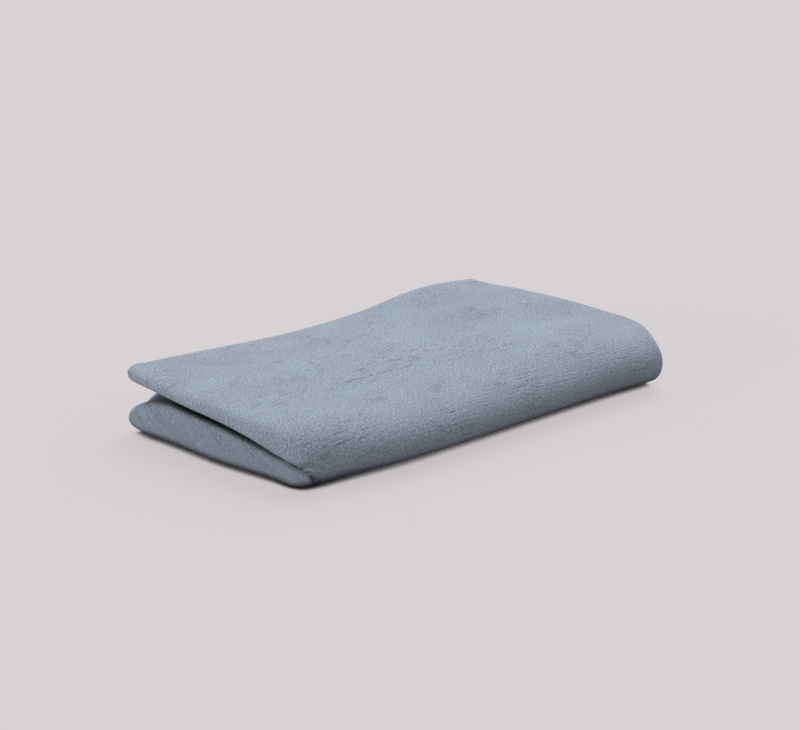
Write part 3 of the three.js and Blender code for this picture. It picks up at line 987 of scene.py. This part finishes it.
def stitch_line(maths, u, v):
    """1 on the stitches of the hem, a dashed line along its inner edge."""
    attribute = maths.nodes.new("ShaderNodeAttribute")
    attribute.attribute_name = "edge_distance"
    away = maths.math("ABSOLUTE", maths.math("SUBTRACT", attribute.outputs["Fac"], STITCH_INSET))
    on_line = maths.spread(away, STITCH_WIDTH * STITCH_EDGE[0], STITCH_WIDTH * STITCH_EDGE[1], 1, 0)
    along_edge = maths.math("FRACT", maths.math("DIVIDE", maths.math("ADD", u, v), STITCH_LENGTH))
    on_stitch = maths.math("LESS_THAN", along_edge, STITCH_SHARE)
    return maths.math("MULTIPLY", on_line, on_stitch)


def wrinkle_marks(maths, place):
    """1 on the small wrinkles, which lie in patches."""
    lines = maths.spread(maths.stretched_noise(place, *WRINKLE), *WRINKLE_RANGE, 1, 0)
    patches = maths.spread(maths.stretched_noise(place, *WRINKLE_PATCH), *PATCH_RANGE, 0, 1)
    return maths.product(lines, patches)


def cloth_tone(maths, place, warp, weft, slub, wrinkles, stitches):
    """The flecks of both threads, thicker yarns, soft mottling and stitches, with painted shade in the
    wrinkles and the creases.
    """
    flecks = maths.math("ADD", maths.product(warp, WARP_SHARE), maths.product(weft, WEFT_SHARE))
    mottle = maths.stretched_noise(place, *MOTTLE, detail=2)
    return maths.product(
        maths.contrast(flecks, FLECK_RANGE, FLECK_CONTRAST),
        maths.contrast(slub, TONE_RANGE, SLUB_CONTRAST),
        maths.contrast(mottle, TONE_RANGE, MOTTLE_CONTRAST),
        # Painted shade in the small wrinkles
        maths.spread(wrinkles, 0, 1, 1, WRINKLE_PAINTED_SHADE),
        maths.spread(stitches, 0, 1, 1, STITCH_TONE),
        # Painted shade: the colour darkens in the creases and close to the floor, where shade falls
        maths.spread(maths.openness(PAINTED_SHADE_REACH), *PAINTED_SHADE_OPENNESS, PAINTED_SHADE_DARKEST, 1),
    )


def cloth_relief(maths, place, u, v, slub, wrinkles, stitches):
    """The woven ribs and their grain, raised yarns and stitches, and sunken wrinkles."""
    rib = maths.math("SINE", maths.product(v, 2 * math.pi / RIB_PITCH))
    cross = maths.math("SINE", maths.product(u, 2 * math.pi / RIB_PITCH))
    weave = maths.math("MULTIPLY_ADD", rib, cross, maths.product(rib, RIB_SHARE))
    grain = maths.stretched_noise(place, GRAIN, GRAIN, detail=2)
    relief = maths.math("MULTIPLY_ADD", weave, WEAVE_RELIEF, maths.product(grain, GRAIN_RELIEF))
    relief = maths.math("ADD", relief, maths.product(slub, SLUB_RELIEF))
    relief = maths.math("MULTIPLY_ADD", stitches, STITCH_RELIEF, relief)
    return maths.math("MULTIPLY_ADD", wrinkles, WRINKLE_RELIEF, relief)


def cloth_material():
    """Fine plain-woven cloth of blended yarns: lighter and darker flecks lie along both sets of threads, and
    the warp stands out as fine ribs along the pad. Shade is painted into its colour deep in the creases,
    close to the floor and in the small wrinkles."""
    material, nodes, links = new_material("heathered_cloth")
    maths = NodeMaths(nodes, links)
    uv_map = nodes.new("ShaderNodeUVMap")
    uv_map.uv_map = "cloth"
    place = uv_map.outputs[0]
    parts = nodes.new("ShaderNodeSeparateXYZ")
    links.new(place, parts.inputs[0])
    u, v = parts.outputs[0], parts.outputs[1]

    warp = maths.stretched_noise(place, *WARP_FLECK)
    weft = maths.stretched_noise(place, *WEFT_FLECK)
    slub = maths.stretched_noise(place, *SLUB, detail=2)
    wrinkles = wrinkle_marks(maths, place)
    stitches = stitch_line(maths, u, v)
    tone = cloth_tone(maths, place, warp, weft, slub, wrinkles, stitches)
    relief = cloth_relief(maths, place, u, v, slub, wrinkles, stitches)

    yarn = nodes.new("ShaderNodeMix")
    yarn.data_type = "RGBA"
    yarn.inputs["A"].default_value = (*COOL_YARN, 1)
    yarn.inputs["B"].default_value = (*WARM_YARN, 1)
    links.new(maths.spread(weft, *YARN_RANGE, 0, 1), yarn.inputs["Factor"])
    bump = nodes.new("ShaderNodeBump")
    bump.inputs["Strength"].default_value = BUMP_STRENGTH
    bump.inputs["Distance"].default_value = BUMP_DISTANCE
    links.new(relief, bump.inputs["Height"])

    shader = nodes["Principled BSDF"]
    links.new(maths.tint(yarn.outputs["Result"], tone), shader.inputs["Base Color"])
    links.new(bump.outputs[0], shader.inputs["Normal"])
    shader.inputs["Roughness"].default_value = CLOTH_ROUGHNESS
    shader.inputs["Specular IOR Level"].default_value = CLOTH_SPECULAR
    shader.inputs["Sheen Weight"].default_value = SHEEN_WEIGHT
    shader.inputs["Sheen Roughness"].default_value = SHEEN_ROUGHNESS
    return material


def floor_material():
    """The floor shows its pale colour to the camera and in gloss or glass, partly as a glow so that the
    shadow on it is light. In the narrow gap under the cloth's edge there is no glow, and a shadow is painted
    there by darkening the colour. The floor throws less light back at the object than it seems to."""
    material, nodes, links = new_material("floor")
    maths = NodeMaths(nodes, links)
    nodes.remove(nodes["Principled BSDF"])
    path = nodes.new("ShaderNodeLightPath")
    seen = maths.math("MAXIMUM", path.outputs["Is Camera Ray"], path.outputs["Is Glossy Ray"])
    seen = maths.math("MAXIMUM", seen, path.outputs["Is Transmission Ray"])
    # Painted shadow: in the narrow gap under the cloth's edge the floor loses its glow and its colour is
    # darkened
    openness = maths.openness(FLOOR_PAINTED_SHADOW_REACH)
    shade = maths.spread(openness, *FLOOR_PAINTED_SHADOW_OPENNESS, FLOOR_PAINTED_SHADOW_DARKEST, 1)
    glow_share = maths.spread(openness, *FLOOR_PAINTED_SHADOW_OPENNESS, 0, FLOOR_GLOW)

    colour = nodes.new("ShaderNodeMix")
    colour.data_type = "RGBA"
    colour.inputs["A"].default_value = (*FLOOR_BOUNCE_COLOUR, 1)
    links.new(maths.tint(FLOOR_COLOUR, shade), colour.inputs["B"])
    links.new(seen, colour.inputs["Factor"])
    diffuse = nodes.new("ShaderNodeBsdfDiffuse")
    links.new(colour.outputs["Result"], diffuse.inputs["Color"])
    glow = nodes.new("ShaderNodeEmission")
    glow.inputs["Color"].default_value = (*FLOOR_COLOUR, 1)
    mix = nodes.new("ShaderNodeMixShader")
    links.new(maths.product(seen, glow_share), mix.inputs["Fac"])
    links.new(diffuse.outputs[0], mix.inputs[1])
    links.new(glow.outputs[0], mix.inputs[2])
    links.new(mix.outputs[0], nodes["Material Output"].inputs["Surface"])
    return material


# ---- Floor, light and camera -----------------------------------------------------------------------

# Sizes and places in metres
FLOOR_SIZE = 40
FLOOR_CLEARANCE = 0.0001

# The directions that the lamps shine from. At a level of 1 a lamp alone makes a colour render as written:
# the key on a level surface, and the fill on one that faces it
KEY_DIRECTION = Vector((0.65, 0.35, 0.8))
KEY_LEVEL = 0.54
KEY_SPREAD = math.radians(60)
FILL_DIRECTION = Vector((-1, 0.1, 0.03))
FILL_LEVEL = 0.58
FILL_SPREAD = math.radians(40)
WORLD_LEVEL = 0.42

# The camera's place round and above the point that it looks at, and its lens and sensor in millimetres
CAMERA_AZIMUTH = math.radians(-44.15)
CAMERA_ELEVATION = math.radians(15.17)
CAMERA_DISTANCE = 1.0547
CAMERA_TARGET = Vector((-0.0013, 0.0127, 0.0238))
CAMERA_LENS = 81
SENSOR_WIDTH = 36


def make_floor():
    mesh = bpy.data.meshes.new("floor")
    half = FLOOR_SIZE / 2
    corners = [(-half, -half, 0), (half, -half, 0), (half, half, 0), (-half, half, 0)]
    mesh.from_pydata(corners, [], [(0, 1, 2, 3)])
    floor = bpy.data.objects.new("floor", mesh)
    floor.location.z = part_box("towel")[0].z - FLOOR_CLEARANCE
    floor.data.materials.append(floor_material())
    bpy.context.scene.collection.objects.link(floor)


def make_sun(name, direction, energy, spread_angle):
    data = bpy.data.lights.new(name, "SUN")
    data.energy = energy
    data.angle = spread_angle
    lamp = bpy.data.objects.new(name, data)
    lamp.rotation_euler = direction.to_track_quat("Z", "Y").to_euler()
    bpy.context.scene.collection.objects.link(lamp)


def make_light():
    """A wide soft light from above and behind, a low one from the left that lights the noses, and an even
    light from all round. Together they light a level surface so that its colour renders about as written."""
    key = KEY_DIRECTION.normalized()
    make_sun("key", key, math.pi * KEY_LEVEL / key.z, KEY_SPREAD)
    make_sun("fill", FILL_DIRECTION.normalized(), math.pi * FILL_LEVEL, FILL_SPREAD)
    world = bpy.data.worlds.new("studio")
    world.use_nodes = True
    world.node_tree.nodes["Background"].inputs["Strength"].default_value = WORLD_LEVEL
    world.node_tree.nodes["Background"].inputs["Color"].default_value = (1, 1, 1, 1)
    bpy.context.scene.world = world


def make_camera():
    across = math.cos(CAMERA_ELEVATION)
    back = Vector((math.sin(CAMERA_AZIMUTH) * across, -math.cos(CAMERA_AZIMUTH) * across,
                   math.sin(CAMERA_ELEVATION)))
    data = bpy.data.cameras.new("camera")
    data.lens = CAMERA_LENS
    data.sensor_width = SENSOR_WIDTH
    camera = bpy.data.objects.new("camera", data)
    camera.location = CAMERA_TARGET + back * CAMERA_DISTANCE
    camera.rotation_euler = back.to_track_quat("Z", "Y").to_euler()
    bpy.context.scene.collection.objects.link(camera)
    bpy.context.scene.camera = camera


make_camera()
make_light()
make_floor()
towel = make_towel()
towel.data.materials.append(cloth_material())
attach(towel, "root")
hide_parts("towel")

bpy.context.scene.view_settings.view_transform = "Standard"
